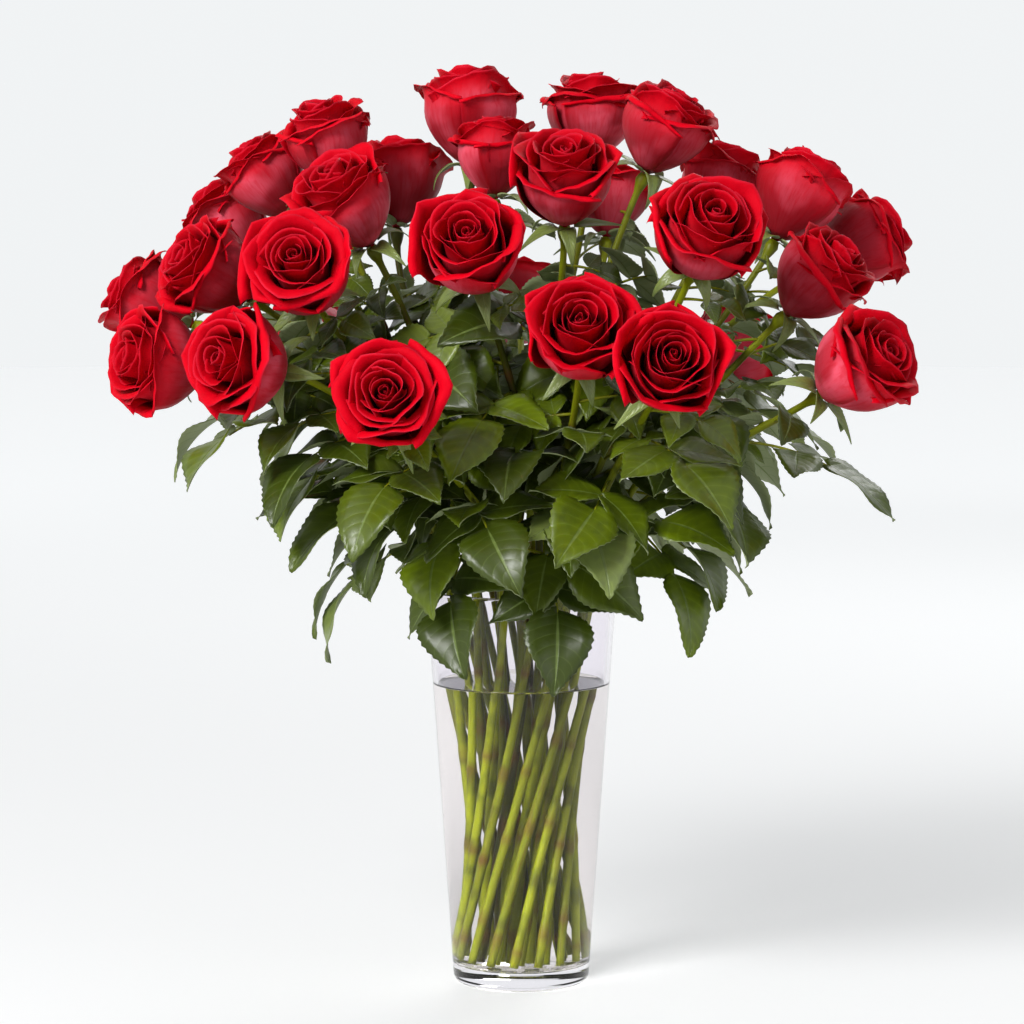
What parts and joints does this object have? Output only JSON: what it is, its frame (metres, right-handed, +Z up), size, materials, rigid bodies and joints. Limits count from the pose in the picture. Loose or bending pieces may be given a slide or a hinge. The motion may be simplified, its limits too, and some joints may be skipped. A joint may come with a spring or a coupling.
{
  "type": "roses in a vase",
  "caption": "Long-stemmed red roses with leaves, arranged as a rounded bunch in a clear tapered glass vase of water.",
  "frame": {"origin": "centre of the vase's underside, on the surface it stands on", "axes": "+Z up along the vase's axis; the bunch's front faces -Y, and +X is to the viewer's right"},
  "size_m": [0.5313, 0.4468, 0.5928],
  "materials": {
    "glass": "clear, polished",
    "water": "clear, still",
    "petal": "velvety satin",
    "stem_and_leaf": "waxy satin"
  },
  "bodies": {
    "root": {"vase": "glass", "water": "water", "rose_01_bloom": "petal", "rose_01_stem": "stem_and_leaf", "rose_02_bloom": "petal", "rose_02_stem": "stem_and_leaf", "rose_03_bloom": "petal", "rose_03_stem": "stem_and_leaf", "rose_04_bloom": "petal", "rose_04_stem": "stem_and_leaf", "rose_05_bloom": "petal", "rose_05_stem": "stem_and_leaf", "rose_06_bloom": "petal", "rose_06_stem": "stem_and_leaf", "rose_07_bloom": "petal", "rose_07_stem": "stem_and_leaf", "rose_08_bloom": "petal", "rose_08_stem": "stem_and_leaf", "rose_09_bloom": "petal", "rose_09_stem": "stem_and_leaf", "rose_10_bloom": "petal", "rose_10_stem": "stem_and_leaf", "rose_11_bloom": "petal", "rose_11_stem": "stem_and_leaf", "rose_12_bloom": "petal", "rose_12_stem": "stem_and_leaf", "rose_13_bloom": "petal", "rose_13_stem": "stem_and_leaf", "rose_14_bloom": "petal", "rose_14_stem": "stem_and_leaf", "rose_15_bloom": "petal", "rose_15_stem": "stem_and_leaf", "rose_16_bloom": "petal", "rose_16_stem": "stem_and_leaf", "rose_17_bloom": "petal", "rose_17_stem": "stem_and_leaf", "rose_18_bloom": "petal", "rose_18_stem": "stem_and_leaf", "rose_19_bloom": "petal", "rose_19_stem": "stem_and_leaf", "rose_20_bloom": "petal", "rose_20_stem": "stem_and_leaf", "rose_21_bloom": "petal", "rose_21_stem": "stem_and_leaf", "rose_22_bloom": "petal", "rose_22_stem": "stem_and_leaf", "rose_23_bloom": "petal", "rose_23_stem": "stem_and_leaf", "rose_24_bloom": "petal", "rose_24_stem": "stem_and_leaf", "rose_25_bloom": "petal", "rose_25_stem": "stem_and_leaf", "rose_26_bloom": "petal", "rose_26_stem": "stem_and_leaf", "rose_27_bloom": "petal", "rose_27_stem": "stem_and_leaf", "rose_28_bloom": "petal", "rose_28_stem": "stem_and_leaf", "rose_29_bloom": "petal", "rose_29_stem": "stem_and_leaf"}
  },
  "joints": []
}
